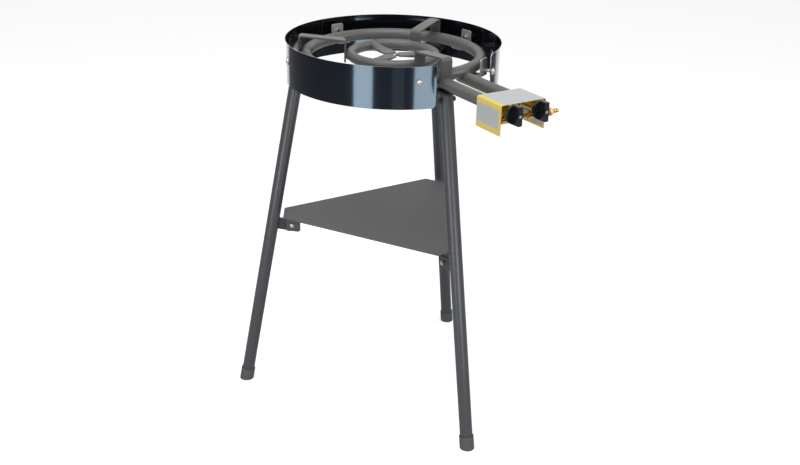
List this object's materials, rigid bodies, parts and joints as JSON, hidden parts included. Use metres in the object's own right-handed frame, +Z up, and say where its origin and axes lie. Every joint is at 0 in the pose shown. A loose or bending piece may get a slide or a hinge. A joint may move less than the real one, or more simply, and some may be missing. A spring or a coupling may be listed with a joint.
{
  "type": "gas burner stand",
  "caption": "Free-standing tripod gas burner with concentric ring burners, a wind guard, pan supports, a shelf and push-and-turn taps under a sheet cover.",
  "frame": {"origin": "on the floor, under the burner's centre", "axes": "+Z up; the taps and the feed tubes point along -Y; +X is on the right of someone who faces the taps' knobs from behind the burner, and holds the hose nozzle"},
  "size_m": [0.6194, 0.6783, 0.8432],
  "materials": {
    "leg_paint": "semi-gloss blue-black paint",
    "mount_paint": "satin black paint",
    "foot_rubber": "matt",
    "shelf_paint": "matt dark grey paint",
    "burner_paint": "satin heat-resistant grey",
    "guard_enamel": "glossy black enamel",
    "zinc": "dull zinc plate",
    "bright_steel": "bright zinc plate",
    "cover_paint": "satin pale yellow paint",
    "brass": "machined",
    "knob_plastic": "glossy black"
  },
  "bodies": {
    "root": {"leg_front": "leg_paint", "leg_right": "leg_paint", "leg_left": "leg_paint", "shelf_bracket_front": "leg_paint", "shelf_bracket_right": "leg_paint", "shelf_bracket_left": "leg_paint", "leg_mount_front": "mount_paint", "leg_mount_right": "mount_paint", "leg_mount_left": "mount_paint", "leg_bolts": "mount_paint", "leg_nuts": "mount_paint", "foot_front": "foot_rubber", "foot_right": "foot_rubber", "foot_left": "foot_rubber", "shelf": "shelf_paint", "outer_ring": "burner_paint", "inner_ring": "burner_paint", "feed_tube_left": "burner_paint", "feed_tube_right": "burner_paint", "pan_support_front": "burner_paint", "pan_support_right": "burner_paint", "pan_support_left": "burner_paint", "cover_stay": "burner_paint", "guard_left": "guard_enamel", "guard_right": "guard_enamel", "guard_clip_front_left": "zinc", "guard_clip_left": "zinc", "guard_clip_back": "zinc", "guard_clip_right": "zinc", "guard_clip_front_right": "zinc", "shelf_bolts": "bright_steel", "shelf_nuts": "bright_steel", "guard_bolts": "bright_steel", "guard_washers": "bright_steel", "guard_nuts": "bright_steel", "valve_cover": "cover_paint", "gas_rail": "brass", "rail_plug": "brass", "hose_nozzle": "brass", "nozzle_locknut": "brass", "tap_body_left": "brass", "tap_body_right": "brass", "jet_left": "brass", "jet_right": "brass", "gland_left": "brass", "gland_right": "brass"},
    "tap_plug_left": {"plug_left": "brass", "spindle_spring_left": "bright_steel"},
    "tap_knob_left": {"spindle_left": "bright_steel", "knob_left": "knob_plastic", "knob_screw_left": "bright_steel"},
    "tap_plug_right": {"plug_right": "brass", "spindle_spring_right": "bright_steel"},
    "tap_knob_right": {"spindle_right": "bright_steel", "knob_right": "knob_plastic", "knob_screw_right": "bright_steel"}
  },
  "joints": [
    {"name": "tap_turn_left", "type": "hinge", "parent": "root", "child": "tap_plug_left", "pos_m": [0, -0.403, 0.789], "axis": [0, -1, 0], "range_deg": [0, 210]},
    {"name": "tap_push_left", "type": "slide", "parent": "tap_plug_left", "child": "tap_knob_left", "axis": [0, 1, 0], "range_m": [0, 0.0025], "stiffness_N_per_m": 500, "springref_m": -0.004, "deforming": ["spindle_spring_left"]},
    {"name": "tap_turn_right", "type": "hinge", "parent": "root", "child": "tap_plug_right", "pos_m": [0.062, -0.403, 0.789], "axis": [0, -1, 0], "range_deg": [0, 210]},
    {"name": "tap_push_right", "type": "slide", "parent": "tap_plug_right", "child": "tap_knob_right", "axis": [0, 1, 0], "range_m": [0, 0.0025], "stiffness_N_per_m": 500, "springref_m": -0.004, "deforming": ["spindle_spring_right"]}
  ]
}
